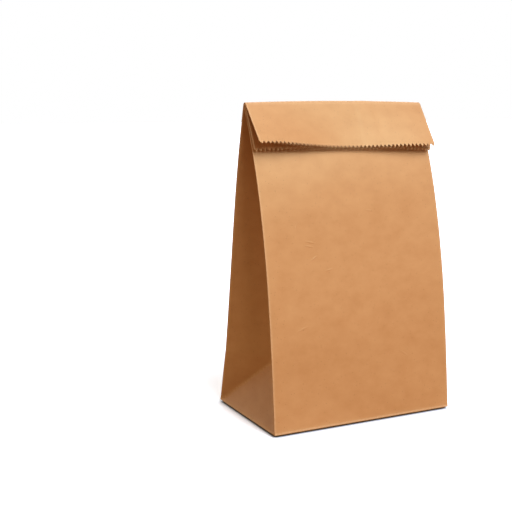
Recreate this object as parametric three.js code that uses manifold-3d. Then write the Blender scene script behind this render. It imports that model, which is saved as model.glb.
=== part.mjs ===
// A brown paper lunch bag that stands on its block bottom, with its mouth folded over to the front.
// Millimetres, +Z up. The origin is at the middle of the base and the front panel faces -Y.
// The bag is one sheet of kraft paper: a glued tube with a crease down each side gusset, closed at
// the bottom by two glued flaps and cut with a saw-toothed edge at the mouth.
import * as THREE from 'three';
import Module from 'manifold-3d';

// Driving dimensions, angles in degrees
const WIDTH = 130; // across the front and back panels
const DEPTH = 80; // of each side gusset, so also of the base
const HEIGHT = 202; // to the top of the folded ridge
const PAPER = 0.12; // thickness of the sheet
const PLY_PITCH = 0.6; // from one ply to the next where they lie together
const RIDGE_SETBACK = 3; // of the ridge behind the middle of the base
const RIDGE_BOW = 1; // by which the middle of the ridge stands above its ends
const RIDGE_RADIUS = 0.6; // of the innermost ply as it turns over the ridge
const FLAP = 34; // of the innermost ply, from the ridge to the cut edge
const FLAP_REST_GAP = 0.8; // between the flap and the panel that it rests on
const FLAP_LIFT_MIDDLE = 0.5; // angle by which the outer ply stands off the innermost one
const FLAP_LIFT_LEFT = 18; // the same at the left corner of the flap
const FLAP_LIFT_RIGHT = 11; // the same at the right corner of the flap
const TOOTH_PITCH = 2.9; // of the saw-toothed cut
const TOOTH_DEPTH = 1.6;
const CUT_SKEW = 2; // more paper at the right end of the mouth's cut than at its left end
const FRONT_LEAN_BASE = 5.2; // lean of the front panel toward the back, at the base
const FRONT_LEAN_RIDGE = 26.4; // and at the ridge
const BACK_LEAN_BASE = 13.2; // lean of the back panel toward the front, below its crease
const BACK_LEAN_CREASE = 8.8; // just above its crease
const BACK_LEAN_RIDGE = 14.4; // and at the ridge
const END_LEAN = 29; // inward lean of the triangle at each end of the base
const BASE_LAP = 12; // by which the two base flaps overlap
const BASE_CORNER = 1; // by which a base flap stops short of the base's corners
const SEAM_LAP = 12; // width of the glued seam up the back panel
const SEAM_PLACE = 14; // of the seam's outer edge, from the middle of the back panel

// Fineness of the facets
const GUSSET_CELLS = 4; // across each half of a gusset, and up its base triangle
const PANEL_CELLS = 3; // across the middle of a panel, between the gussets' creases
const WALL_CELLS = 8; // from the base triangles up to the ridge
const RIDGE_CELLS = 6; // round the ridge
const HAIRPIN_CELLS = 2; // round each edge fold, and each side of a gusset's crease

const radians = THREE.MathUtils.degToRad;
const lerp = THREE.MathUtils.lerp;
const halfWidth = WIDTH / 2;
const halfDepth = DEPTH / 2;
const hairpin = PLY_PITCH / 2; // radius of the folds down the bag's edges and gusset creases
const hairpinPaper = Math.PI / 2 * hairpin; // paper that each side of such a fold takes
const baseHeight = 2.5 * PAPER; // middle of the base ply, which lies on the two glued flaps
const outerRadius = RIDGE_RADIUS + 3 * PLY_PITCH;
const ridge = new THREE.Vector2(RIDGE_SETBACK, HEIGHT - outerRadius - PAPER / 2);

// Direction of a sheet in the Y and Z plane, by its lean from upright toward +Y.
function heading(lean) {
  return new THREE.Vector2(Math.sin(lean), Math.cos(lean));
}

// Place on the ridge of a ply that turns over it toward -Y, by the ply's radius and its lean there.
function ridgePoint(radius, lean) {
  return new THREE.Vector2(Math.cos(lean), -Math.sin(lean)).multiplyScalar(radius).add(ridge);
}

function leaningCurve(start, startLean, end, endLean) {
  const pull = start.distanceTo(end) / 3;
  const leave = heading(startLean).multiplyScalar(pull).add(start);
  const arrive = heading(endLean).multiplyScalar(-pull).add(end);
  return new THREE.CubicBezierCurve(start, leave, arrive, end);
}

function makeFrontSheet() {
  const lean = radians(FRONT_LEAN_RIDGE);
  const foot = new THREE.Vector2(-halfDepth, baseHeight);
  const wall = leaningCurve(foot, radians(FRONT_LEAN_BASE), ridgePoint(RIDGE_RADIUS, lean), lean);
  return { lean, radius: RIDGE_RADIUS, wall, wallLength: wall.getLength() };
}

// The back panel has a crease across it, as high as the base is deep from its edge to its middle.
function makeBackSheet() {
  const lean = -radians(BACK_LEAN_RIDGE);
  const foot = new THREE.Vector2(halfDepth, baseHeight);
  const crease = heading(-radians(BACK_LEAN_BASE)).multiplyScalar(halfDepth).add(foot);
  const wall = new THREE.CurvePath();
  wall.add(new THREE.LineCurve(foot, crease));
  wall.add(leaningCurve(crease, -radians(BACK_LEAN_CREASE), ridgePoint(outerRadius, lean), lean));
  return { lean, radius: outerRadius, wall, wallLength: wall.getLength() };
}

// Least lean at which the flap, straight down from the ridge, clears the panel under it.
function restingLean(sheet) {
  let least = 0;
  for (let down = 1; down <= FLAP; down += 1) {
    const share = 1 - down / sheet.wallLength;
    const along = sheet.wall.getTangentAt(share);
    const outward = new THREE.Vector2(-along.y, along.x).multiplyScalar(FLAP_REST_GAP);
    const reach = sheet.wall.getPointAt(share).add(outward).sub(ridge);
    const angle = Math.atan2(-reach.x, -reach.y);
    least = Math.max(least, angle - Math.asin(Math.min(1, sheet.radius / reach.length())));
  }
  return least;
}

const front = makeFrontSheet();
const back = makeBackSheet();
const innerLean = restingLean(front);

// Lean of the hanging flap: the innermost ply lies on the panel, the outer one lifts at its corners.
front.hang = () => innerLean;
back.hang = (x) => {
  const share = Math.min(1, Math.abs(x) / halfWidth);
  const corner = x < 0 ? FLAP_LIFT_LEFT : FLAP_LIFT_RIGHT;
  const lift = lerp(FLAP_LIFT_MIDDLE, corner, share * share * (3 - 2 * share));
  return innerLean + radians(lift);
};

function ridgePaper(sheet, x) {
  return sheet.radius * (sheet.lean + Math.PI - sheet.hang(x));
}

// Every ply is cut at the same distance from the base, measured along the paper.
const sheetLength = front.wallLength + ridgePaper(front, 0) + FLAP;

function flapLength(sheet, x) {
  return sheetLength - sheet.wallLength - ridgePaper(sheet, x);
}

// A row runs round the bag. Its zone is wall, ridge or flap, and at says how far up the wall's
// paper in millimetres, or how far round the ridge or down the flap as a share.
function wallShare(sheet, at) {
  if (at <= halfDepth) {
    return at / sheet.wallLength;
  }
  const above = (at - halfDepth) / (front.wallLength - halfDepth);
  return lerp(halfDepth, sheet.wallLength, above) / sheet.wallLength;
}

function wallPoint(sheet, at) {
  const share = wallShare(sheet, at);
  return sheet === front ? sheet.wall.getPointAt(share) : sheet.wall.getPoint(share);
}

function sheetPoint(sheet, x, row) {
  const droop = RIDGE_BOW * (x / halfWidth) ** 2;
  if (row.zone === 'wall') {
    const point = wallPoint(sheet, row.at);
    return new THREE.Vector3(x, point.x, point.y - droop * (row.at / front.wallLength) ** 2);
  }
  const turned = row.zone === 'ridge' ? row.at : 1;
  const lean = lerp(sheet.lean, sheet.hang(x) - Math.PI, turned);
  const point = ridgePoint(sheet.radius, lean);
  if (row.zone === 'flap') {
    point.addScaledVector(heading(lean), row.at * flapLength(sheet, x));
  }
  return new THREE.Vector3(x, point.x, point.y - droop);
}

// Half a gusset hangs from the near panel by an edge fold and ends at the tip of the gusset's
// crease. Its columns are the edge fold's, those of the flat run, and the crease's.
function runColumns() {
  const columns = [];
  for (let i = 1; i < GUSSET_CELLS; i += 1) {
    columns.push(halfDepth * i / GUSSET_CELLS);
  }
  return [...columns, halfDepth - hairpinPaper];
}

function creaseColumns() {
  const columns = [];
  for (let i = 1; i <= HAIRPIN_CELLS; i += 1) {
    columns.push(halfDepth - hairpinPaper * (1 - i / HAIRPIN_CELLS));
  }
  return columns;
}

// Distance inward of the crease's fold centre, for a rise between the panel and the middle.
function creaseInset(rise) {
  const run = Math.hypot(halfDepth - 2 * hairpinPaper, 2 * hairpin);
  return { run, inset: Math.sqrt(Math.max(run * run - rise * rise, 0)) };
}

// Directions round an edge fold, from the panel to a half gusset that leaves it at a slope.
function edgeFoldAngles(slope) {
  const angles = [];
  for (let i = 1; i <= 2 * HAIRPIN_CELLS; i += 1) {
    angles.push(lerp(-Math.PI / 2, Math.PI / 2 - slope, i / (2 * HAIRPIN_CELLS)));
  }
  return angles;
}

// Course of a half gusset that hangs free between two panels. A place on it is given by its
// distance from the bag's middle and its rise from the near panel.
function openCourse(near, far, row, side) {
  const frameAt = (x) => {
    const from = sheetPoint(near, side * x, row);
    const across = sheetPoint(far, side * x, row).sub(from);
    return { from, span: across.length(), across: across.normalize() };
  };
  const place = (x, rise) => {
    const frame = frameAt(x);
    return frame.from.addScaledVector(frame.across, rise);
  };
  const edge = halfWidth - hairpin;
  const guess = creaseInset(frameAt(halfWidth).span / 2 - hairpin);
  const rise = frameAt(edge - guess.inset).span / 2 - hairpin;
  const { run, inset } = creaseInset(rise);
  const slope = Math.atan2(rise, inset) - Math.asin(2 * hairpin / run);
  return { place, edge, tip: edge - inset, rise, slope };
}

function openHalf(near, far, row, side) {
  const { place, edge, tip, rise, slope } = openCourse(near, far, row, side);
  const points = edgeFoldAngles(slope).map((angle) => (
    place(edge + hairpin * Math.cos(angle), hairpin * (1 + Math.sin(angle)))
  ));
  const start = [edge + hairpin * Math.sin(slope), hairpin * (1 + Math.cos(slope))];
  const end = [tip - hairpin * Math.sin(slope), rise + hairpin * (1 - Math.cos(slope))];
  for (const paper of runColumns()) {
    const share = (paper - hairpinPaper) / (halfDepth - 2 * hairpinPaper);
    points.push(place(lerp(start[0], end[0], share), lerp(start[1], end[1], share)));
  }
  for (let i = 1; i <= HAIRPIN_CELLS; i += 1) {
    const angle = lerp(-Math.PI / 2 - slope, -Math.PI, i / HAIRPIN_CELLS);
    points.push(place(tip + hairpin * Math.cos(angle), rise + hairpin * (1 + Math.sin(angle))));
  }
  return points;
}

function trianglePeak(side) {
  const peak = heading(radians(END_LEAN)).multiplyScalar(halfDepth);
  return new THREE.Vector3(side * (halfWidth - peak.x), 0, baseHeight + peak.y);
}

// Above the base triangle the crease settles from the triangle's peak to its free course.
function upperHalf(near, far, row, side) {
  const points = openHalf(near, far, row, side);
  if (row.zone !== 'wall') {
    return points;
  }
  const tip = openHalf(near, far, { zone: 'wall', at: halfDepth }, side).at(-1);
  const settled = (row.at - halfDepth) / (front.wallLength - halfDepth);
  const shift = trianglePeak(side).sub(tip).multiplyScalar((1 - settled) ** 3);
  const papers = [...Array(2 * HAIRPIN_CELLS).fill(0), ...runColumns(), ...creaseColumns()];
  return points.map((point, i) => point.addScaledVector(shift, papers[i] / halfDepth));
}

// The edge fold beside a base triangle turns until it aims at the next crease.
function lowerEdgeFold(near, row, side, aim) {
  const panelEnd = sheetPoint(near, side * (halfWidth - hairpin), row);
  const reach = aim.clone().sub(panelEnd);
  const across = new THREE.Vector3(0, reach.y, reach.z);
  const aimed = Math.atan2(across.length() - hairpin, -side * reach.x);
  const slope = aimed - Math.asin(hairpin / reach.length());
  const middle = panelEnd.addScaledVector(across.normalize(), hairpin);
  return edgeFoldAngles(slope).map((angle) => {
    const point = middle.clone().addScaledVector(across, hairpin * Math.sin(angle));
    point.x += side * hairpin * Math.cos(angle);
    return point;
  });
}

// Beside the base triangle a half gusset has a facet up to the 45 degree crease, then the triangle.
function lowerHalf(near, far, row, side) {
  const corner = (sheet) => sheetPoint(sheet, side * halfWidth, { zone: 'wall', at: 0 });
  const peak = trianglePeak(side);
  const crease = corner(near).lerp(peak, row.at / halfDepth);
  const farCrease = corner(far).lerp(peak, row.at / halfDepth);
  const points = lowerEdgeFold(near, row, side, row.at > 0 ? crease : farCrease);
  const start = points.at(-1);
  for (const paper of [...runColumns(), ...creaseColumns()]) {
    if (paper < row.at) {
      const share = (paper - hairpinPaper) / (row.at - hairpinPaper);
      points.push(start.clone().lerp(crease, share));
    } else {
      points.push(crease.clone().lerp(farCrease, (paper - row.at) / (DEPTH - 2 * row.at)));
    }
  }
  return points;
}

function gussetSection(row, side) {
  const half = row.zone === 'wall' && row.at < halfDepth ? lowerHalf : upperHalf;
  const frontHalf = half(front, back, row, side);
  const backHalf = half(back, front, row, side);
  backHalf.pop();
  return [...frontHalf, ...backHalf.reverse()];
}

// Places of a gusset's columns in the flattened bag, where every ply is cut by the same stroke.
function gussetFlats(side) {
  const papers = [];
  for (let i = 1; i <= 2 * HAIRPIN_CELLS; i += 1) {
    papers.push(Math.abs(i / HAIRPIN_CELLS - 1) * hairpinPaper);
  }
  papers.push(...runColumns(), ...creaseColumns());
  const flats = papers.map((paper) => side * (halfWidth - paper));
  return [...flats, ...flats.slice(0, -1).reverse()];
}

function panelColumns() {
  const columns = [];
  const creasePlace = halfWidth - halfDepth;
  for (let i = 0; i <= PANEL_CELLS; i += 1) {
    columns.push(lerp(-creasePlace, creasePlace, i / PANEL_CELLS));
  }
  for (let i = 1; i < GUSSET_CELLS; i += 1) {
    const place = creasePlace + halfDepth * i / GUSSET_CELLS;
    columns.push(-place, place);
  }
  columns.push(hairpin - halfWidth, halfWidth - hairpin);
  return columns.sort((a, b) => a - b);
}

// The sheet's long edges are glued over each other up the back, with a step one paper thick.
function backColumns() {
  const seam = [SEAM_PLACE, SEAM_PLACE + SEAM_LAP].flatMap((x) => [x - PAPER, x + PAPER]);
  const apart = (x) => seam.every((edge) => Math.abs(x - edge) > 4 * PAPER);
  return [...panelColumns().filter(apart), ...seam].sort((a, b) => b - a);
}

const frontColumns = panelColumns();
const seamColumns = backColumns();

function ringAt(row) {
  return [
    ...frontColumns.map((x) => sheetPoint(front, x, row)),
    ...gussetSection(row, 1),
    ...seamColumns.map((x) => sheetPoint(back, x, row)),
    ...gussetSection(row, -1).reverse(),
  ];
}

const ringFlats = [...frontColumns, ...gussetFlats(1), ...seamColumns, ...gussetFlats(-1).reverse()];
const backStart = frontColumns.length + gussetFlats(1).length;

function inSeam(column) {
  const x = seamColumns[column - backStart];
  return x > SEAM_PLACE && x < SEAM_PLACE + SEAM_LAP;
}

// Which way a cell of the ring is split in two, so that the splits run along the 45 degree creases.
function splitsRising(column) {
  const length = gussetFlats(1).length;
  const first = frontColumns.length - 1;
  const second = backStart + seamColumns.length - 1;
  const inFirst = column - first < (length + 1) / 2;
  return column < second ? inFirst : column - second < (length + 1) / 2;
}

function rowList() {
  const rows = [];
  for (let i = 0; i < GUSSET_CELLS; i += 1) {
    rows.push({ zone: 'wall', at: halfDepth * i / GUSSET_CELLS });
  }
  for (let i = 0; i < WALL_CELLS; i += 1) {
    rows.push({ zone: 'wall', at: lerp(halfDepth, front.wallLength, i / WALL_CELLS) });
  }
  for (let i = 0; i <= RIDGE_CELLS; i += 1) {
    rows.push({ zone: 'ridge', at: i / RIDGE_CELLS });
  }
  rows.push({ zone: 'flap', at: 0.5 });
  rows.push({ zone: 'flap', at: 1 - stripDepth / FLAP });
  return rows;
}

// A sheet without thickness: points, triangles that face out, and the loop of its cut edge.
function makeSheet() {
  const sheet = { points: [], triangles: [], lapped: [], mouth: [] };
  const rings = rowList().map((row) => addRing(sheet, ringAt(row)));
  for (let i = 1; i < rings.length; i += 1) {
    joinRings(sheet, rings[i - 1], rings[i]);
  }
  closeBase(sheet, rings[0]);
  cutMouth(sheet, rings.at(-1));
  return sheet;
}

function addPoint(sheet, point, lapped) {
  sheet.points.push(point);
  sheet.lapped.push(lapped);
  return sheet.points.length - 1;
}

function addRing(sheet, points) {
  return points.map((point, column) => addPoint(sheet, point, inSeam(column)));
}

function joinRings(sheet, lower, upper) {
  lower.forEach((a, column) => {
    const next = (column + 1) % lower.length;
    const [b, c, d] = [lower[next], upper[next], upper[column]];
    if (splitsRising(column)) {
      sheet.triangles.push([a, b, c], [a, c, d]);
    } else {
      sheet.triangles.push([a, b, d], [b, c, d]);
    }
  });
}

function closeBase(sheet, ring) {
  const outline = ring.map((index) => new THREE.Vector2(sheet.points[index].x, sheet.points[index].y));
  for (const [a, b, c] of THREE.ShapeUtils.triangulateShape(outline, [])) {
    sheet.triangles.push([ring[c], ring[b], ring[a]]);
  }
}

const halfPitch = halfWidth / Math.round(2 * halfWidth / TOOTH_PITCH);

// The last strip of the flap. Its first half goes from the ring's columns to those of the teeth,
// and the cut runs through its second half.
const stripDepth = 2 * (TOOTH_DEPTH + CUT_SKEW);

// How far along that strip the cut runs, at a place across the flattened bag.
function cutShare(flat) {
  const phase = Math.abs(flat) / halfPitch % 2;
  const notch = TOOTH_DEPTH * (1 - Math.abs(phase - 1));
  return 1 + (CUT_SKEW * flat / WIDTH - notch) / stripDepth;
}

// Tips and notches of the teeth that lie between two neighbouring columns.
function toothPlaces(from, to) {
  const places = [];
  const low = Math.min(from, to);
  const high = Math.max(from, to);
  for (let k = Math.ceil(low / halfPitch); k * halfPitch < high; k += 1) {
    if (k * halfPitch > low) {
      places.push(k * halfPitch);
    }
  }
  return from < to ? places : places.reverse();
}

// A line of points along the last strip, at the ring's columns and at the teeth between them.
function stripLine(sheet, ring, end, shareAt) {
  const stripPoint = (column, share) => sheet.points[ring[column]].clone().lerp(end[column], share);
  return ring.map((first, column) => {
    const next = (column + 1) % ring.length;
    const from = ringFlats[column];
    const to = ringFlats[next];
    const lapped = sheet.lapped[first] && sheet.lapped[ring[next]];
    const teeth = toothPlaces(from, to).map((flat) => {
      const share = shareAt(flat);
      const point = stripPoint(column, share).lerp(stripPoint(next, share), (flat - from) / (to - from));
      return addPoint(sheet, point, lapped);
    });
    return [addPoint(sheet, stripPoint(column, shareAt(from)), sheet.lapped[first]), ...teeth];
  });
}

function cutMouth(sheet, ring) {
  const end = ringAt({ zone: 'flap', at: 1 });
  const level = stripLine(sheet, ring, end, () => 0.5);
  const cut = stripLine(sheet, ring, end, cutShare);
  ring.forEach((first, column) => {
    const next = (column + 1) % ring.length;
    const lower = [...level[column], level[next][0]];
    const upper = [...cut[column], cut[next][0]];
    const turn = Math.floor(lower.length / 2);
    sheet.triangles.push([first, ring[next], lower[turn]]);
    for (let i = 1; i < lower.length; i += 1) {
      sheet.triangles.push([i <= turn ? first : ring[next], lower[i], lower[i - 1]]);
      sheet.triangles.push([lower[i - 1], lower[i], upper[i]], [lower[i - 1], upper[i], upper[i - 1]]);
    }
  });
  sheet.mouth.push(...cut.flat());
}

// Sums over the faces round each point, weighted by the face's angle there.
function normalSums(sheet) {
  const matrices = sheet.points.map(() => new Array(9).fill(0));
  const vectors = sheet.points.map(() => new THREE.Vector3());
  const weights = sheet.points.map(() => 0);
  for (const triangle of sheet.triangles) {
    const corners = triangle.map((index) => sheet.points[index]);
    const face = new THREE.Triangle(...corners).getNormal(new THREE.Vector3());
    const normal = face.toArray();
    triangle.forEach((index, k) => {
      const toNext = corners[(k + 1) % 3].clone().sub(corners[k]);
      const toLast = corners[(k + 2) % 3].clone().sub(corners[k]);
      const weight = toNext.angleTo(toLast);
      normal.forEach((p, i) => normal.forEach((q, j) => {
        matrices[index][3 * i + j] += weight * p * q;
      }));
      vectors[index].addScaledVector(face, weight);
      weights[index] += weight;
    });
  }
  return { matrices, vectors, weights };
}

// For each point, the offset that moves every face around it outward by one unit. Where the faces
// are nearly level with each other it keeps to their mean normal.
function unitOffsets(sheet) {
  const steadying = 0.03;
  const { matrices, vectors, weights } = normalSums(sheet);
  return vectors.map((vector, index) => {
    const steady = steadying * weights[index];
    const mean = vector.clone().normalize();
    const solver = new THREE.Matrix3().set(...matrices[index]);
    [0, 4, 8].forEach((k) => {
      solver.elements[k] += steady;
    });
    return vector.addScaledVector(mean, steady).applyMatrix3(solver.invert());
  });
}

// The sheet with its thickness, as the flat arrays of a closed mesh.
function thicken(sheet) {
  const offsets = unitOffsets(sheet);
  const count = sheet.points.length;
  const outer = sheet.points.map((point, i) => point.clone().addScaledVector(offsets[i], PAPER / 2));
  const inner = sheet.points.map((point, i) => {
    const inward = sheet.lapped[i] ? 1.5 * PAPER : PAPER / 2;
    return point.clone().addScaledVector(offsets[i], -inward);
  });
  const triangles = [...sheet.triangles];
  for (const [a, b, c] of sheet.triangles) {
    triangles.push([c + count, b + count, a + count]);
  }
  sheet.mouth.forEach((a, i) => {
    const b = sheet.mouth[(i + 1) % sheet.mouth.length];
    triangles.push([a, b, b + count], [a, b + count, a + count]);
  });
  const positions = [...outer, ...inner].flatMap((point) => point.toArray());
  return { positions, indices: triangles.flat() };
}

// A base flap's outline: it narrows at 45 degrees from its fold to its saw-toothed free edge.
function baseFlapShape() {
  const length = halfDepth + BASE_LAP / 2;
  const fold = halfWidth - BASE_CORNER;
  const free = fold - length;
  const teeth = Math.max(1, Math.round(2 * free / TOOTH_PITCH));
  const outline = [new THREE.Vector2(-fold, 0), new THREE.Vector2(fold, 0)];
  for (let i = 0; i <= 2 * teeth; i += 1) {
    const notch = i % 2 === 1 ? TOOTH_DEPTH : 0;
    outline.push(new THREE.Vector2(lerp(free, -free, i / (2 * teeth)), length - notch));
  }
  return new THREE.Shape(outline);
}

// A flap is glued to the ply above it, so its solid runs into the middle of that ply.
function baseFlap(bottom, turned) {
  const depth = baseHeight - bottom;
  const geometry = new THREE.ExtrudeGeometry(baseFlapShape(), { depth, bevelEnabled: false });
  geometry.translate(0, -halfDepth, bottom);
  geometry.rotateZ(turned ? Math.PI : 0);
  return geometry;
}

const wasm = await Module();
wasm.setup();

function solidFrom(positions, indices) {
  const mesh = new wasm.Mesh({
    numProp: 3,
    vertProperties: new Float32Array(positions),
    triVerts: new Uint32Array(indices),
  });
  return new wasm.Manifold(mesh);
}

// An extruded geometry repeats its corner points, so they are joined by place first.
function solidFromGeometry(geometry) {
  const places = new Map();
  const positions = [];
  const indices = [];
  const source = (geometry.index ? geometry.toNonIndexed() : geometry).getAttribute('position');
  for (let i = 0; i < source.count; i += 1) {
    const point = [source.getX(i), source.getY(i), source.getZ(i)];
    const key = point.map((value) => value.toFixed(4)).join();
    if (!places.has(key)) {
      places.set(key, places.size);
      positions.push(...point);
    }
    indices.push(places.get(key));
  }
  return solidFrom(positions, indices);
}

function makeBag() {
  const { positions, indices } = thicken(makeSheet());
  const solid = solidFrom(positions, indices)
    .add(solidFromGeometry(baseFlap(0, false)))
    .add(solidFromGeometry(baseFlap(PAPER, true)));
  const result = solid.getMesh();
  const geometry = new THREE.BufferGeometry();
  const places = new Float32Array(result.vertProperties);
  geometry.setAttribute('position', new THREE.BufferAttribute(places, 3));
  geometry.setIndex(Array.from(result.triVerts));
  const kraft = new THREE.MeshStandardMaterial({ color: 0xd79b6b, roughness: 0.85, metalness: 0 });
  const mesh = new THREE.Mesh(geometry, kraft);
  mesh.name = 'paper_bag';
  return mesh;
}

const bag = new THREE.Group();
bag.add(makeBag());

export default bag;
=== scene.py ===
"""Looks of a standing brown paper lunch bag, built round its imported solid. Metres, +Z up."""
import math

import bpy
import numpy as np
from mathutils import Matrix, Vector, noise
from mathutils.geometry import tessellate_polygon


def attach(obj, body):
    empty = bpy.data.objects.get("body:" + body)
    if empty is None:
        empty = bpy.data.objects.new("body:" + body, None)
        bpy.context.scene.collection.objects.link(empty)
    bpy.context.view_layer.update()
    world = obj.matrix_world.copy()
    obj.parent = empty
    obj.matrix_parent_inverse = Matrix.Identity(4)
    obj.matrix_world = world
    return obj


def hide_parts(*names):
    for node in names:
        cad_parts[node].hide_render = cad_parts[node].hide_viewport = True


# The frame is the bag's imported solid. It gives the size, and it stays as the collision shape.
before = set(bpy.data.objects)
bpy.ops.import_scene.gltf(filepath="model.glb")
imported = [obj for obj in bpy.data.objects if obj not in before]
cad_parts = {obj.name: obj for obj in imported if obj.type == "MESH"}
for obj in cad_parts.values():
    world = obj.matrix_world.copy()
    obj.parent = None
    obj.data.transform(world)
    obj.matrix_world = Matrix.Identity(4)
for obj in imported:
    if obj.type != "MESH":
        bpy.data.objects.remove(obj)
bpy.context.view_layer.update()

# The camera stands about 0.6 m from the bag, in front of its left corner and level with its top,
# and looks slightly down at it.
camera_place = Vector((-0.3269, -0.5372, 0.2060))
camera_aim = Vector((0.44118, 0.88216, -0.16480)).normalized()
camera_roll = math.radians(0.21)
focal_length = 68.1  # millimetres
sensor_width = 36.0  # millimetres
nearest_seen = 0.01  # metres

camera_data = bpy.data.cameras.new("camera")
camera_data.sensor_width = sensor_width
camera_data.lens = focal_length
camera_data.clip_start = nearest_seen
camera = bpy.data.objects.new("camera", camera_data)
bpy.context.scene.collection.objects.link(camera)
bpy.context.scene.camera = camera

level_right = camera_aim.cross(Vector((0, 0, 1))).normalized()
level_up = level_right.cross(camera_aim)
camera_right = level_right * math.cos(camera_roll) + level_up * math.sin(camera_roll)
camera_up = camera_right.cross(camera_aim)
turn = Matrix((camera_right, camera_up, -camera_aim)).transposed()
camera.matrix_world = Matrix.Translation(camera_place) @ turn.to_4x4()

# The sheet is brown kraft paper, glued into a tube with a crease down each side. Seen from the
# side, its front panel and its back panel curve from the base up to the ridge, turn over it one
# round the other, and hang down the front as the folded mouth.
mm = 0.001
width = 130 * mm
depth = 80 * mm
height = 202 * mm
paper = 0.12 * mm
ply_pitch = 0.40 * mm  # from one ply to the next where they lie together
ridge_setback = 3 * mm
ridge_bow = 1 * mm
ridge_radius = 0.6 * mm
flap = 32.2 * mm
flap_rest_gap = 0.8 * mm
flap_lift_all = math.radians(2.5)  # of all four plies off the front panel
flap_lift_middle = math.radians(0.5)
flap_lift_left = math.radians(15.5)
flap_lift_right = math.radians(8.5)
front_lean_base = math.radians(5.2)
front_lean_ridge = math.radians(26.4)
back_lean_base = -math.radians(13.2)
back_lean_crease = -math.radians(8.8)
back_lean_ridge = -math.radians(14.4)
course_points = 400  # along each curved panel, seen from the side

half_width = width / 2
half_depth = depth / 2
base_height = 2.5 * paper  # middle of the base ply, which lies on the two glued base flaps
outer_radius = ridge_radius + 3 * ply_pitch
ridge = np.array([ridge_setback, height - outer_radius - paper / 2])


def heading(lean):
    """Direction of a ply seen from the side, by its lean from upright toward the back."""
    return np.stack([np.sin(lean), np.cos(lean)], axis=-1)


def ridge_point(radius, lean):
    """Place on the ridge of a ply that turns over it, by its radius and its lean there."""
    return ridge + radius * np.stack([np.cos(lean), -np.sin(lean)], axis=-1)


def leaning_curve(start, start_lean, end, end_lean):
    """Points of a smooth course between two places, with a lean at each."""
    pull = np.linalg.norm(end - start) / 3
    leave = start + pull * heading(start_lean)
    arrive = end - pull * heading(end_lean)
    t = np.linspace(0, 1, course_points)[:, None]
    first = (1 - t) ** 3 * start + 3 * t * (1 - t) ** 2 * leave
    return first + 3 * t ** 2 * (1 - t) * arrive + t ** 3 * end


class Panel:
    """The front or the back panel: its course seen from the side, measured along the paper."""

    def __init__(self, lean, radius, course):
        self.lean = lean
        self.radius = radius
        self.course = course
        steps = np.linalg.norm(np.diff(course, axis=0), axis=1)
        self.paper = np.concatenate([[0], np.cumsum(steps)])
        self.length = self.paper[-1]

    def at(self, up):
        places = [np.interp(up, self.paper, self.course[:, axis]) for axis in (0, 1)]
        return np.stack(places, axis=-1)


front_foot = np.array([-half_depth, base_height])
front_top = ridge_point(ridge_radius, front_lean_ridge)
front = Panel(front_lean_ridge, ridge_radius,
              leaning_curve(front_foot, front_lean_base, front_top, front_lean_ridge))

back_foot = np.array([half_depth, base_height])
back_crease = back_foot + half_depth * heading(back_lean_base)
back_top = ridge_point(outer_radius, back_lean_ridge)
back_above = leaning_curve(back_crease, back_lean_crease, back_top, back_lean_ridge)
back = Panel(back_lean_ridge, outer_radius, np.vstack([back_foot, back_above]))


def resting_lean():
    """Least lean at which the innermost ply, straight down from the ridge, clears the panel."""
    step = 1 * mm
    nearby = 0.1 * mm
    up = front.length - np.arange(step, flap, step)
    along = front.at(up + nearby) - front.at(up - nearby)
    along /= np.linalg.norm(along, axis=1, keepdims=True)
    outward = np.stack([-along[:, 1], along[:, 0]], axis=-1)
    reach = front.at(up) + flap_rest_gap * outward - ridge
    angle = np.arctan2(-reach[:, 0], -reach[:, 1])
    beside_ridge = np.arcsin(np.minimum(1, ridge_radius / np.linalg.norm(reach, axis=1)))
    return max(0, (angle - beside_ridge).max())


inner_lean = resting_lean() + flap_lift_all


def hang(panel, x):
    """Lean of a ply of the folded mouth from straight down. The outer one lifts at its corners."""
    if panel is front:
        return np.full_like(x, inner_lean)
    share = np.minimum(1, np.abs(x) / half_width)
    corner = np.where(x < 0, flap_lift_left, flap_lift_right)
    eased = share ** 2 * (3 - 2 * share)
    return inner_lean + flap_lift_middle + (corner - flap_lift_middle) * eased


def ridge_paper(panel, x):
    return panel.radius * (panel.lean + np.pi - hang(panel, x))


sheet_length = front.length + ridge_paper(front, np.zeros(1))[0] + flap


def flap_length(panel, x):
    return sheet_length - panel.length - ridge_paper(panel, x)


def panel_point(panel, x, zone, at):
    """Places across a panel on one row: at is paper up the wall, or a share of ridge or flap."""
    droop = ridge_bow * (x / half_width) ** 2
    if zone == "wall":
        above = max(0, at - half_depth) / (front.length - half_depth)
        y, z = panel.at(min(at, half_depth) + above * (panel.length - half_depth))
        return np.stack([x, np.full_like(x, y), z - droop * (at / front.length) ** 2], axis=-1)
    share = at if zone == "ridge" else 1
    lean = panel.lean + (hang(panel, x) - np.pi - panel.lean) * share
    point = ridge_point(panel.radius, lean)
    if zone == "flap":
        point = point + heading(lean) * (at * flap_length(panel, x))[:, None]
    return np.stack([x, point[:, 0], point[:, 1] - droop], axis=-1)


# Each side gusset is folded inward along a centre crease. It joins the panels at two edge folds,
# and beside the base it has a triangle between two 45 degree creases.
end_lean = math.radians(29)
tooth_pitch = 2.9 * mm
tooth_depth = 2.2 * mm
fray_width = 0.45 * mm  # of the pale band along the cut: pale fibres, and a painted highlight on the teeth
cut_skew = 2.4 * mm  # more paper at the right end of the mouth's cut than at its left end
fold_cells = 4  # round each side of a fold

hairpin = ply_pitch / 2
hairpin_paper = np.pi / 2 * hairpin
gusset_run = math.hypot(half_depth - 2 * hairpin_paper, 2 * hairpin)
panel_teeth = round(width / tooth_pitch)
half_pitch = half_width / panel_teeth

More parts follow.
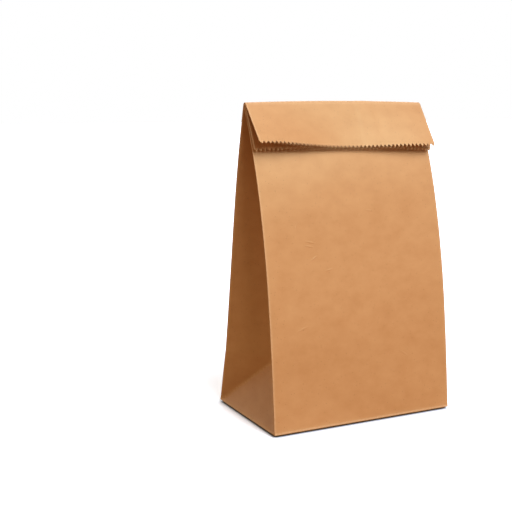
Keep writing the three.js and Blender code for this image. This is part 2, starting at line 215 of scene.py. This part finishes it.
run_papers = np.arange(half_pitch, half_depth - hairpin_paper, half_pitch)
run_papers = np.append(run_papers, half_depth - hairpin_paper)
crease_papers = half_depth - hairpin_paper * np.linspace(1, 0, fold_cells + 1)[1:]
half_papers = np.concatenate([np.zeros(2 * fold_cells), run_papers, crease_papers])


def fold_angles(slope):
    """Directions round an edge fold, from the panel to a half gusset that leaves at a slope."""
    return np.linspace(-np.pi / 2, np.pi / 2 - slope, 2 * fold_cells + 1)[1:]


def crease_inset(rise):
    return math.sqrt(max(gusset_run ** 2 - rise ** 2, 0))


def open_half(near, far, zone, at, side):
    """Half a gusset that hangs free between two panels, from its edge fold to the crease."""
    def place(x, rise):
        start = panel_point(near, side * x, zone, at)
        across = panel_point(far, side * x, zone, at) - start
        across /= np.linalg.norm(across, axis=1, keepdims=True)
        return start + across * rise[:, None]

    def rise_at(x):
        x = np.array([side * x])
        span = panel_point(far, x, zone, at) - panel_point(near, x, zone, at)
        return np.linalg.norm(span) / 2 - hairpin

    edge = half_width - hairpin
    rise = rise_at(edge - crease_inset(rise_at(half_width)))
    inset = crease_inset(rise)
    slope = math.atan2(rise, inset) - math.asin(2 * hairpin / gusset_run)
    round_edge = fold_angles(slope)
    round_tip = np.linspace(-np.pi / 2 - slope, -np.pi, fold_cells + 1)[1:]
    share = (run_papers - hairpin_paper) / (half_depth - 2 * hairpin_paper)
    start = np.array([edge + hairpin * math.sin(slope), hairpin * (1 + math.cos(slope))])
    end = np.array([edge - inset - hairpin * math.sin(slope), rise + hairpin * (1 - math.cos(slope))])
    x = np.concatenate([edge + hairpin * np.cos(round_edge), start[0] + share * (end[0] - start[0]),
                        edge - inset + hairpin * np.cos(round_tip)])
    rises = np.concatenate([hairpin * (1 + np.sin(round_edge)), start[1] + share * (end[1] - start[1]),
                            rise + hairpin * (1 + np.sin(round_tip))])
    return place(x, rises)


def triangle_peak(side):
    run, rise = half_depth * heading(end_lean)
    return np.array([side * (half_width - run), 0, base_height + rise])


def upper_half(near, far, zone, at, side):
    """Above the base triangle the crease settles from the triangle's peak to its free course."""
    points = open_half(near, far, zone, at, side)
    if zone != "wall":
        return points
    tip = open_half(near, far, "wall", half_depth, side)[-1]
    settled = (at - half_depth) / (front.length - half_depth)
    shift = (triangle_peak(side) - tip) * (1 - settled) ** 3
    return points + shift * (half_papers / half_depth)[:, None]


def lower_half(near, far, zone, at, side):
    """Beside the base triangle: a facet up to the 45 degree crease, and then the triangle."""
    corner = [panel_point(p, np.array([side * half_width]), zone, 0)[0] for p in (near, far)]
    peak = triangle_peak(side)
    crease = corner[0] + (peak - corner[0]) * at / half_depth
    far_crease = corner[1] + (peak - corner[1]) * at / half_depth
    panel_end = panel_point(near, np.array([side * (half_width - hairpin)]), zone, at)[0]
    reach = (crease if at > 0 else far_crease) - panel_end
    across = np.array([0, reach[1], reach[2]])
    rise = np.linalg.norm(across)
    across /= rise
    slope = math.atan2(rise - hairpin, -side * reach[0]) - math.asin(hairpin / np.linalg.norm(reach))
    angle = fold_angles(slope)[:, None]
    points = panel_end + across * hairpin * (1 + np.sin(angle))
    points[:, 0] += side * hairpin * np.cos(angle[:, 0])
    flat_papers = half_papers[2 * fold_cells:]
    on_facet = flat_papers < at
    facet_share = ((flat_papers - hairpin_paper) / max(at - hairpin_paper, hairpin_paper))[:, None]
    cross_share = ((flat_papers - at) / (depth - 2 * at))[:, None]
    facet = points[-1] + (crease - points[-1]) * facet_share
    triangle = crease + (far_crease - crease) * cross_share
    return np.vstack([points, np.where(on_facet[:, None], facet, triangle)])


def gusset_row(zone, at, side):
    half = lower_half if zone == "wall" and at < half_depth else upper_half
    from_front = half(front, back, zone, at, side)
    from_back = half(back, front, zone, at, side)
    return np.vstack([from_front, from_back[-2::-1]])


# Round the bag a ring goes along the front panel, the right gusset, the back panel and the left
# gusset. The sheet's long edges are glued over each other up the back panel, the left one outside.
seam_place = 26 * mm
seam_lap = 12 * mm
seam_step = 0.06 * mm  # half the width of the step at the lapped edge
seam_clearance = 0.4 * mm  # of the other columns from that step
far_away = 1.0  # metres, for a place with no fold of the kind near it

panel_reach = half_width - hairpin
tooth_columns = np.arange(1 - panel_teeth, panel_teeth) * half_pitch
front_x = np.concatenate([[-panel_reach], tooth_columns, [panel_reach]])
near_seam = np.abs(tooth_columns - seam_place) < seam_clearance
seam_edges = np.array([seam_place - seam_step, seam_place + seam_step])
back_x = np.concatenate([[-panel_reach], tooth_columns[~near_seam], seam_edges, [panel_reach]])
back_x = np.sort(back_x)[::-1]


def ring_points(zone, at):
    return np.vstack([
        panel_point(front, front_x, zone, at),
        gusset_row(zone, at, 1),
        panel_point(back, back_x, zone, at),
        gusset_row(zone, at, -1)[::-1],
    ])


fold_papers = hairpin_paper * np.abs(np.arange(1, 2 * fold_cells + 1) / fold_cells - 1)
half_signs = np.concatenate([-np.ones(fold_cells), np.ones(len(half_papers) - fold_cells)])
half_flats = np.concatenate([fold_papers, half_papers[2 * fold_cells:]])
gusset_flats = np.concatenate([half_flats, half_flats[-2::-1]])
gusset_turned = np.concatenate([half_signs * half_flats, depth - (half_signs * half_flats)[-2::-1]])


def with_paper_ends(x):
    """Places across the flattened panel: its ends are where the edge folds begin."""
    return np.clip(x, hairpin_paper - half_width, half_width - hairpin_paper)


# Place of each column across the flattened bag, where every ply was cut by the same stroke.
ring_flat = np.concatenate([with_paper_ends(front_x), half_width - gusset_flats,
                            with_paper_ends(back_x), gusset_flats[::-1] - half_width])

# Place of each column round the sheet, from the middle of the front. It jumps at the back seam.
right_of_seam = back_x > seam_place
back_round = np.where(right_of_seam, width + depth - back_x, -width - depth - back_x)
ring_round = np.concatenate([front_x, half_width + gusset_turned, back_round,
                             -(half_width + gusset_turned[::-1])])

starts = np.cumsum([0, len(front_x), len(gusset_flats), len(back_x), len(gusset_flats)])
in_right, in_back, in_left = [slice(a, b) for a, b in zip(starts[1:-1], starts[2:])]
ring_count = starts[-1]

# Paper between each column and the nearest edge fold, and the nearest gusset crease.
edge_distance = np.concatenate([half_width - np.abs(front_x), gusset_flats,
                                half_width - np.abs(back_x), gusset_flats[::-1]])
in_gusset = np.zeros(ring_count, bool)
in_gusset[in_right] = True
in_gusset[in_left] = True
crease_distance = np.where(in_gusset, half_depth - edge_distance, far_away)

# Rows go from under the bottom edge up the walls, round the ridge and down the folded mouth.
bottom_radius = 0.3 * mm
bottom_cells = 3
bottom_gap = 1.0 * mm  # between the bottom edge and the floor, as the base sags to it further in
sag_reach = 8 * mm
sag_cells = 4
foot_rows = (0, 0.5 * mm, 1.1 * mm)  # close together, where the bottom edge's wear and painted highlight lie
foot_reach = 6 * mm  # up to which the walls' foot is lifted
base_cells = 18
wall_cells = 68
ridge_cells = 10
flap_cells = 12
level_depth = 2 * (tooth_depth + cut_skew)

rows = [("wall", at) for at in foot_rows]
rows += [("wall", half_depth * i / base_cells) for i in range(1, base_cells)]
rows += [("wall", half_depth + (front.length - half_depth) * i / wall_cells)
         for i in range(wall_cells)]
rows += [("ridge", i / ridge_cells) for i in range(ridge_cells + 1)]
rows += [("flap", (1 - level_depth / flap) * i / flap_cells) for i in range(1, flap_cells + 1)]


def paper_up(zone, at):
    """Paper from the bottom edge up to a row, as it lies on the front panel."""
    if zone == "wall":
        return at
    if zone == "ridge":
        return front.length + at * (sheet_length - flap - front.length)
    return sheet_length - flap + at * flap


def rise_of_foot(at):
    """The walls' foot is lifted by the gap under the bottom edge, which fades a little above."""
    return (bottom_gap + bottom_radius) * max(0, 1 - at / foot_reach) ** 2


walls = []
for zone, at in rows:
    ring = ring_points(zone, at)
    if zone == "wall":
        ring[:, 2] += rise_of_foot(at)
    walls.append(ring)

# The base ply goes inward from the bottom edge and sags to the floor: each ring's place inside
# the foot, its height over the base, and its paper from the bottom edge.
base_steps = [(sag_reach * i / sag_cells, bottom_gap * (1 - i / sag_cells) ** 2,
               -sag_reach * i / sag_cells) for i in range(sag_cells, 0, -1)]
for cell in range(bottom_cells, 0, -1):
    angle = np.pi / 2 * cell / bottom_cells
    base_steps.append((bottom_radius * (1 - math.cos(angle)),
                       bottom_gap + bottom_radius * (1 - math.sin(angle)), -bottom_radius * angle))

foot = walls[0]
bottom = []
for inset, lift, paper_in in base_steps:
    ring = foot.copy()
    ring[:, 0] *= 1 - inset / half_width
    ring[:, 1] *= 1 - inset / half_depth
    ring[:, 2] = base_height + lift
    bottom.append(ring)

notch = tooth_depth * (1 - np.abs(np.abs(ring_flat) / half_pitch % 2 - 1))
cut_share = (1 + (cut_skew * ring_flat / width - notch) / level_depth)[:, None]
mouth_strip = ring_points("flap", 1) - walls[-1]
cut_ring = walls[-1] + mouth_strip * cut_share
frayed_ring = walls[-1] + mouth_strip * (cut_share - fray_width / level_depth)

sheet = np.array([*bottom, *walls, frayed_ring, cut_ring])
row_count = len(sheet)
row_paper = np.array([paper_in for inset, lift, paper_in in base_steps]
                     + [paper_up(zone, at) for zone, at in rows]
                     + [sheet_length - fray_width, sheet_length])

# Real paper is never quite flat. The panels bow softly between their folds, and the plies that lie
# close together at the ridge and in the folded mouth stay as they are.
bows = [  # (size, depth, place in the noise)
    (60 * mm, 1.1 * mm, (3.1, 0.4, 1.7)),
    (24 * mm, 0.22 * mm, (0.2, 5.3, 2.9)),
    (9 * mm, 0.035 * mm, (7.7, 1.2, 4.1)),
]
drawn_out = 0.55  # of each distance across the width, as the noise sees it, for longer bows that way
held_at_bottom = 14 * mm
held_at_edges = 22 * mm
least_freedom = 0.15  # of the paper beside an edge fold
calming_from = 60 * mm  # below the ridge, where the bows begin to fade
calm_from = 30 * mm  # below the ridge, where none are left


def smooth(low, high, value):
    share = np.clip((value - low) / (high - low), 0, 1)
    return share ** 2 * (3 - 2 * share)


def soft_noise(points, size, shift):
    """Smooth random values in space, drawn out along the bag's width."""
    offset = Vector(shift)
    return np.array([noise.noise(Vector((drawn_out * x, y, z)) / size + offset)
                     for x, y, z in points])


def quads_between(count, rings):
    """Faces of a closed tube of rings, each with this many points."""
    lower = np.arange(rings - 1)[:, None] * count + np.arange(count)
    after = np.arange(rings - 1)[:, None] * count + (np.arange(count) + 1) % count
    return np.stack([lower, after, after + count, lower + count], axis=-1).reshape(-1, 4)


tube_faces = quads_between(ring_count, row_count)


def tube_normals(points):
    mesh = bpy.data.meshes.new("tube")
    mesh.from_pydata(points.tolist(), [], tube_faces.tolist())
    normals = np.zeros(len(points) * 3)
    mesh.vertex_normals.foreach_get("vector", normals)
    bpy.data.meshes.remove(mesh)
    return normals.reshape(-1, 3)


points = sheet.reshape(-1, 3)
up = np.repeat(row_paper, ring_count)
edge = np.tile(edge_distance, row_count)
crease = np.tile(crease_distance, row_count)
gusset = np.tile(in_gusset, row_count)
round_bag = np.tile(ring_round, row_count)

off_bottom = smooth(0, held_at_bottom, up)
off_edges = least_freedom + (1 - least_freedom) * smooth(0, held_at_edges, edge)
off_ridge = 1 - smooth(front.length - calming_from, front.length - calm_from, up)
freedom = off_bottom * off_edges * off_ridge
bowed = sum(depth_of_bow * soft_noise(points, size, shift) for size, depth_of_bow, shift in bows)
points = points + tube_normals(points) * (bowed * freedom)[:, None]

# The sheet has its paper's thickness, and at the back seam the outer lap lies over the inner one. Its
# edge is crisp up the back, and pressed soft where the sheet turns over the ridge.
lap_ease = 1 * mm  # each side of the inner lap's hidden edge
soft_ease = 3 * mm  # each side of the outer lap's edge, where it is pressed
pressed_from = 25 * mm  # below the ridge

normals = tube_normals(points)
on_back = np.zeros(ring_count, bool)
on_back[in_back] = True
lap_start = smooth(seam_place - seam_lap - lap_ease, seam_place - seam_lap + lap_ease, back_x)
soft_end = 1 - smooth(seam_place - soft_ease, seam_place + soft_ease, back_x)
crisp_rise = np.zeros(ring_count)
crisp_rise[in_back] = paper * lap_start * (back_x < seam_place)
soft_rise = np.zeros(ring_count)
soft_rise[in_back] = paper * lap_start * soft_end
pressed = smooth(front.length - pressed_from, front.length, row_paper)[:, None]
lap = (crisp_rise * (1 - pressed) + soft_rise * pressed).reshape(-1, 1)
outer = points + normals * (paper / 2 + lap)
inner = points - normals * (paper / 2)
count = len(points)


def mouth_rim():
    last = (row_count - 1) * ring_count + np.arange(ring_count)
    after = (row_count - 1) * ring_count + (np.arange(ring_count) + 1) % ring_count
    return np.stack([last, after, after + count, last + count], axis=-1)


def base_ply():
    """Triangles of the base ply, inside the lowest ring: its underside and its upper side."""
    outline = [Vector((p[0], p[1], 0)) for p in outer[:ring_count]]
    under = []
    for a, b, c in tessellate_polygon([outline]):
        across = (outline[b] - outline[a]).cross(outline[c] - outline[a])
        under.append((a, c, b) if across.z > 0 else (a, b, c))
    over = [(a + count, c + count, b + count) for a, b, c in under]
    return under + over


sharp_fold = math.radians(50)
inner_faces = tube_faces[:, ::-1] + count
faces = [*tube_faces.tolist(), *inner_faces.tolist(), *mouth_rim().tolist(), *base_ply()]
bag_mesh = bpy.data.meshes.new("bag_sheet")
bag_mesh.from_pydata(np.vstack([outer, inner]).tolist(), [], faces)
bag_mesh.validate()
bag = bpy.data.objects.new("bag_sheet", bag_mesh)
bpy.context.scene.collection.objects.link(bag)
for polygon in bag_mesh.polygons:
    polygon.use_smooth = True
bag_mesh.set_sharp_from_angle(angle=sharp_fold)

# Where each place lies on the flat sheet, in millimetres, and where the paper is worn by a fold, with
# a painted highlight along it.
on_sheet = np.stack([round_bag, up, np.zeros(count)], axis=-1) / mm
place_layer = bag_mesh.attributes.new("sheet_place", "FLOAT_VECTOR", "POINT")
place_layer.data.foreach_set("vector", np.vstack([on_sheet, on_sheet]).astype(np.float32).ravel())

fold_reach = 0.9 * mm
# Above the bottom edge the paper is paler still: its fold's wear, and a painted highlight where the
# foot flares out.
bottom_wear_and_highlight_place = 0.6 * mm  # up from the bottom edge
bottom_wear_and_highlight_reach = 1.1 * mm
bottom_wear_and_highlight_strength = 1.5  # times the wear and painted highlight of a fold
from_ridge = np.maximum(0, np.maximum(front.length - up, up - (sheet_length - flap)))
on_diagonal = np.where(gusset & (up < half_depth), np.abs(edge - up) / math.sqrt(2), far_away)
on_back_crease = np.where(np.tile(on_back, row_count), np.abs(up - half_depth), far_away)
on_crease = np.where(up > half_depth, crease, far_away)
fold_distance = np.minimum.reduce([np.abs(edge), on_crease, from_ridge,
                                   on_diagonal, on_back_crease])
from_bottom_wear_and_highlight = (up - bottom_wear_and_highlight_place) / bottom_wear_and_highlight_reach
bottom_wear_and_highlight = bottom_wear_and_highlight_strength * np.exp(-from_bottom_wear_and_highlight ** 2)
fold_wear_and_highlight = np.maximum(np.exp(-(fold_distance / fold_reach) ** 2), bottom_wear_and_highlight)
wear_and_highlight_layer = bag_mesh.attributes.new("fold_wear_and_highlight", "FLOAT", "POINT")
wear_and_highlight_layer.data.foreach_set("value", np.concatenate([fold_wear_and_highlight, fold_wear_and_highlight]).astype(np.float32))

at_cut = np.repeat(np.arange(row_count) == row_count - 1, ring_count)
cut_layer = bag_mesh.attributes.new("cut_edge", "FLOAT", "POINT")
cut_layer.data.foreach_set("value", np.concatenate([at_cut, at_cut]).astype(np.float32))


# Kraft paper is unbleached: long brown fibres pressed into a sheet, with cloudy patches, faint lines
# from the machine's felt, a few dark specks of bark, and paler fibres where it has been folded. Along
# the folds, the bottom edge and the mouth's cut, a painted highlight adds to that paleness.
kraft_colour = (0.576, 0.266, 0.107, 1)
kraft_pale = (0.608, 0.292, 0.123, 1)
kraft_dark = (0.536, 0.236, 0.089, 1)
speck_colour = (0.23, 0.09, 0.035, 1)
# Paler along the folds and the bottom edge: worn fibres, and a painted highlight.
worn_and_highlight_colour = (0.74, 0.45, 0.25, 1)
# Paler at the mouth's cut: pale cut fibres, and a painted highlight on the teeth in the flap's shade.
cut_fibre_and_highlight_colour = (0.86, 0.54, 0.28, 1)
fibre_pale_share = 0.35
fibre_dark_share = 0.3
speck_share = 0.55
worn_and_highlight_share = 0.7
cut_fibre_and_highlight_share = 0.85
smoothest = 0.43
roughest = 0.51
worn_roughness = 0.15  # added where the paper is worn
relief_strength = 0.6
relief_depth = 0.06 * mm
sheen_level = 0.75
sheen_tint = (0.82, 1, 0.64, 1)

kraft = bpy.data.materials.new("kraft_paper")
kraft.use_nodes = True
nodes = kraft.node_tree.nodes
links = kraft.node_tree.links
nodes.clear()


def node(kind, inputs=None, **settings):
    """A node with its settings and inputs, each a number, a colour or another node's output."""
    made = nodes.new(kind)
    for name, value in settings.items():
        setattr(made, name, value)
    for name, value in (inputs or {}).items():
        socket = made.inputs[name]
        if isinstance(value, bpy.types.NodeSocket):
            links.new(value, socket)
        else:
            socket.default_value = value
    return made


def scaled(vector, scale):
    return node("ShaderNodeVectorMath", {0: vector, 1: scale}, operation="MULTIPLY").outputs[0]


def turned(vector, angle):
    return node("ShaderNodeVectorRotate", {"Vector": vector, "Angle": math.radians(angle)},
                rotation_type="Z_AXIS").outputs[0]


def noise_of(vector, detail=3.0, roughness=0.5):
    return node("ShaderNodeTexNoise", {"Vector": vector, "Scale": 1.0, "Detail": detail,
                                       "Roughness": roughness}).outputs["Fac"]


def ranged(value, low, high, to_low=0.0, to_high=1.0):
    return node("ShaderNodeMapRange", {"Value": value, "From Min": low, "From Max": high,
                                       "To Min": to_low, "To Max": to_high}).outputs["Result"]


def maths(operation, a, b=0.0, c=0.0):
    return node("ShaderNodeMath", {0: a, 1: b, 2: c}, operation=operation).outputs[0]


def mixed(factor, a, b):
    """A mix of two colours, which are the node's sockets 6 and 7, and its output 2."""
    made = node("ShaderNodeMix", {"Factor": factor}, data_type="RGBA")
    for socket, value in ((made.inputs[6], a), (made.inputs[7], b)):
        if isinstance(value, bpy.types.NodeSocket):
            links.new(value, socket)
        else:
            socket.default_value = value
    return made.outputs[2]


place = node("ShaderNodeAttribute", attribute_name="sheet_place").outputs["Vector"]
wear_and_highlight_mask = node("ShaderNodeAttribute", attribute_name="fold_wear_and_highlight").outputs["Fac"]
cut = node("ShaderNodeAttribute", attribute_name="cut_edge").outputs["Fac"]

# The scales are per millimetre of sheet, round the bag and up it.
patches = noise_of(scaled(place, (0.022, 0.034, 1)), detail=2)
clouds = noise_of(scaled(place, (0.085, 0.11, 1)), detail=5, roughness=0.55)
flocks = noise_of(scaled(place, (0.9, 0.6, 1)), detail=4, roughness=0.65)
fibres_along = noise_of(scaled(turned(place, 4), (5.5, 0.42, 1)), detail=3, roughness=0.6)
fibres_left = noise_of(scaled(turned(place, 28), (5.0, 0.5, 1)), detail=3, roughness=0.6)
fibres_right = noise_of(scaled(turned(place, -33), (5.0, 0.5, 1)), detail=3, roughness=0.6)
crossed = maths("MULTIPLY", maths("ADD", fibres_left, fibres_right), 0.5)
fibres = maths("MULTIPLY_ADD", fibres_along, 0.55, maths("MULTIPLY", crossed, 0.45))
felt_lines = node("ShaderNodeTexWave", {"Vector": scaled(place, (1, 0.04, 1)), "Scale": 0.28,
                                        "Distortion": 2.5, "Detail": 2.0, "Detail Scale": 1.5},
                  wave_type="BANDS", bands_direction="X").outputs["Fac"]

tone = maths("MULTIPLY_ADD", patches, 0.35, maths("MULTIPLY", clouds, 0.65))
colour = mixed(ranged(tone, 0.32, 0.5), kraft_dark, kraft_colour)
colour = mixed(ranged(tone, 0.5, 0.68), colour, kraft_pale)
colour = mixed(ranged(fibres, 0.56, 0.70, 0, fibre_pale_share), colour, kraft_pale)
colour = mixed(ranged(fibres, 0.44, 0.32, 0, fibre_dark_share), colour, kraft_dark)

speck_cells = node("ShaderNodeTexVoronoi", {"Vector": scaled(turned(place, 15), (0.42, 0.26, 1)),
                                            "Scale": 1.0, "Randomness": 1.0},
                   voronoi_dimensions="2D", feature="F1")
chosen = ranged(node("ShaderNodeSeparateColor", {"Color": speck_cells.outputs["Color"]}).outputs[0],
                0.80, 0.84)
speck = maths("MULTIPLY", ranged(speck_cells.outputs["Distance"], 0.10, 0.04), chosen)
colour = mixed(maths("MULTIPLY", speck, speck_share), colour, speck_colour)

# Along the folds and the bottom edge: worn fibres, and a painted highlight.
wear_and_highlight = maths("MULTIPLY", wear_and_highlight_mask, ranged(flocks, 0.35, 0.65, 0.35, 1.0))
colour = mixed(maths("MULTIPLY", wear_and_highlight, worn_and_highlight_share), colour, worn_and_highlight_colour)
# The mouth's cut: pale cut fibres, and a painted highlight on the teeth.
colour = mixed(maths("MULTIPLY", cut, cut_fibre_and_highlight_share), colour, cut_fibre_and_highlight_colour)

relief = maths("MULTIPLY_ADD", fibres, 0.5, maths("MULTIPLY", flocks, 0.35))
relief = maths("MULTIPLY_ADD", felt_lines, 0.10, relief)
relief = maths("MULTIPLY_ADD", clouds, 0.6, relief)

# Short creases from handling: each one's place on the sheet, its turn, and its half length and
# half width, in millimetres and degrees.
handling_marks = [
    (-33, 117, -14, 4.5, 0.7), (-34, 114.5, -10, 3.6, 0.6), (-31, 107, 32, 3.4, 0.6),
    (-21, 99, 12, 3.0, 0.6), (12, 134.5, -8, 4.0, 0.7), (-42, 127, 68, 3.5, 0.6),
    (-43, 64, 20, 5.0, 0.8), (31, 41, -34, 5.5, 0.8), (38, 226, 24, 4.5, 0.7),
    (-180, 150, 15, 6.0, 0.8), (182, 96, -22, 5.0, 0.8),
]
mark_height = 3.6  # beside the relief of the fibres


def handling_mark(x, up, angle, reach, narrow):
    """A soft ridge that the paper keeps where it was once pinched."""
    on_mark = node("ShaderNodeMapping", {"Vector": place, "Location": (x, up, 0),
                                         "Rotation": (0, 0, math.radians(angle)),
                                         "Scale": (reach, narrow, 1)}, vector_type="TEXTURE")
    away = node("ShaderNodeVectorMath", {0: on_mark.outputs[0]}, operation="LENGTH")
    return ranged(away.outputs["Value"], 1.0, 0.0)


marks = handling_mark(*handling_marks[0])
for mark in handling_marks[1:]:
    marks = maths("ADD", marks, handling_mark(*mark))
relief = maths("MULTIPLY_ADD", marks, mark_height, relief)
bump = node("ShaderNodeBump", {"Height": relief, "Strength": relief_strength,
                               "Distance": relief_depth})

rough = ranged(flocks, 0.3, 0.7, smoothest, roughest)
rough = maths("MULTIPLY_ADD", wear_and_highlight, worn_roughness, rough)
surface = node("ShaderNodeBsdfPrincipled", {"Base Color": colour, "Roughness": rough,
                                            "Normal": bump.outputs["Normal"],
                                            "Specular IOR Level": sheen_level,
                                            "Specular Tint": sheen_tint})
node("ShaderNodeOutputMaterial", {"Surface": surface.outputs["BSDF"]})

bag_mesh.materials.append(kraft)
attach(bag, "root")
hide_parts("paper_bag")

# The two base flaps are the ends of the front and back panels. They are folded in under the base,
# and glued to it and to each other. The front one lies outermost.
base_lap = 12 * mm
base_corner = 1 * mm  # by which a flap stops short of the base's corners


def base_flap(name, bottom, side):
    length = half_depth + base_lap / 2 - bottom_radius
    fold = half_width - base_corner - bottom_radius
    free = fold - length
    teeth = max(1, round(2 * free / tooth_pitch))
    places = np.linspace(free, -free, 2 * teeth + 1)
    cut_line = [(x, length - (tooth_depth if i % 2 else 0), 0) for i, x in enumerate(places)]
    sag_steps = base_steps[sag_cells - 1::-1]
    slope_right = [(fold - inset, inset, lift) for inset, lift, paper_in in sag_steps]
    slope_left = [(-x, y, lift) for x, y, lift in slope_right[::-1]]
    outline = [*slope_left, (-fold, 0, bottom_gap), (fold, 0, bottom_gap), *slope_right, *cut_line]
    corners = [(side * x, side * (y - half_depth + bottom_radius), lift) for x, y, lift in outline]
    n = len(corners)
    verts = [(x, y, bottom + lift) for x, y, lift in corners]
    verts += [(x, y, bottom + lift + paper) for x, y, lift in corners]
    strips = [(i, i + 1, 2 * sag_cells - i, 2 * sag_cells + 1 - i) for i in range(sag_cells)]
    flat_part = (0, *range(2 * sag_cells + 1, n))
    under = [*strips, flat_part]
    over = [tuple(corner + n for corner in face[::-1]) for face in under]
    walls_round = [((i + 1) % n, i, i + n, (i + 1) % n + n) for i in range(n)]
    mesh = bpy.data.meshes.new(name)
    mesh.from_pydata(verts, [], [*under, *over, *walls_round])
    mesh.validate()
    sheet_layer = mesh.attributes.new("sheet_place", "FLOAT_VECTOR", "POINT")
    flat = np.array([(x, -abs(y), 0) for x, y, z in verts]) / mm
    sheet_layer.data.foreach_set("vector", flat.astype(np.float32).ravel())
    mesh.materials.append(kraft)
    piece = bpy.data.objects.new(name, mesh)
    bpy.context.scene.collection.objects.link(piece)
    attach(piece, "root")
    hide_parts("paper_bag")


base_flap("front_base_flap", 0.0, 1)
base_flap("back_base_flap", paper, -1)

# The studio: a pale floor, with shade painted on it where the bag stands close over it, that runs out
# of sight into a white surround. A broad soft lamp stands high at the front, a weaker one behind, and
# a warm reflector at the left. The surround's own light is faint, and its left side is dim in the
# gloss.
floor_bounce = (0.36, 0.26, 0.16, 1)
floor_seen = (1.25, 1.40, 1.62, 1)
floor_glow = 0.36
floor_shade_reach = 7 * mm
glow_falloff = 2.0  # power by which the glow fades where the floor is covered, as painted shade
floor_size = 6.0  # metres from its middle to each side
lamps = {  # name: (direction it shines from, strength, spread in degrees, colour, seen in gloss)
    "front_softbox": ((0.18, -0.65, 0.73), 3.25, 42, (1, 1, 1), True),
    "back_light": ((0.40, 0.72, 0.56), 1.4, 60, (1, 1, 1), True),
    "left_reflector": ((-0.97, 0.22, -0.06), 1.35, 100, (1, 0.68, 0.38), False),
}
surround_light = 0.10
surround_warmth = (1, 0.72, 0.42, 1)
dark_side = 0.2  # of the white surround, as a sheen on the paper shows it at the left
dims_from = -0.5  # X of the direction at which it begins to dim
dims_until = -0.95  # X of the direction at which it is as dim as dark_side says

floor_mesh = bpy.data.meshes.new("floor")
floor_corners = [(x * floor_size, y * floor_size, 0) for x, y in ((-1, -1), (1, -1), (1, 1), (-1, 1))]
floor_mesh.from_pydata(floor_corners, [], [(0, 1, 2, 3)])
floor = bpy.data.objects.new("floor", floor_mesh)
bpy.context.scene.collection.objects.link(floor)

floor_paint = bpy.data.materials.new("floor_paint")
floor_paint.use_nodes = True
nodes = floor_paint.node_tree.nodes
links = floor_paint.node_tree.links
nodes.clear()
seen = node("ShaderNodeLightPath").outputs["Is Camera Ray"]
# Seen from the camera, the floor is darkened near the bag by ambient occlusion: painted shade, beside
# the lamps' real shadows.
openness = node("ShaderNodeAmbientOcclusion", {"Distance": floor_shade_reach}).outputs["AO"]
floor_with_painted_shade = mixed(openness, (0, 0, 0, 1), floor_seen)
floor_colour = mixed(seen, floor_bounce, floor_with_painted_shade)
matt = node("ShaderNodeBsdfDiffuse", {"Color": floor_colour})
glow_open = maths("MULTIPLY", maths("POWER", openness, glow_falloff), floor_glow)
glow = node("ShaderNodeEmission", {"Strength": maths("MULTIPLY", seen, glow_open)})
both = node("ShaderNodeAddShader", {0: matt.outputs[0], 1: glow.outputs[0]})
node("ShaderNodeOutputMaterial", {"Surface": both.outputs[0]})
floor_mesh.materials.append(floor_paint)

for name, (shines_from, strength, spread, lamp_colour, in_gloss) in lamps.items():
    lamp_data = bpy.data.lights.new(name, "SUN")
    lamp_data.energy = strength
    lamp_data.color = lamp_colour
    lamp_data.angle = math.radians(spread)
    lamp = bpy.data.objects.new(name, lamp_data)
    lamp.visible_glossy = in_gloss
    lamp.matrix_world = Vector(shines_from).to_track_quat("Z", "Y").to_matrix().to_4x4()
    bpy.context.scene.collection.objects.link(lamp)

world = bpy.data.worlds.new("surround")
bpy.context.scene.world = world
world.use_nodes = True
nodes = world.node_tree.nodes
links = world.node_tree.links
nodes.clear()
path = node("ShaderNodeLightPath").outputs
direction = node("ShaderNodeTexCoord").outputs["Generated"]
to_right = node("ShaderNodeSeparateXYZ", {"Vector": direction}).outputs["X"]
side_light = ranged(to_right, dims_from, dims_until, 1.0, dark_side)
mirrored = maths("MULTIPLY", path["Is Glossy Ray"], side_light)
shown = maths("MAXIMUM", path["Is Camera Ray"], mirrored)
shown = maths("MAXIMUM", shown, path["Is Transmission Ray"])
brightness = ranged(shown, 0.0, 1.0, surround_light, 1.0)
tint = mixed(shown, surround_warmth, (1, 1, 1, 1))
backdrop = node("ShaderNodeBackground", {"Color": tint, "Strength": brightness})
node("ShaderNodeOutputWorld", {"Surface": backdrop.outputs[0]})

bpy.context.scene.view_settings.view_transform = "Standard"
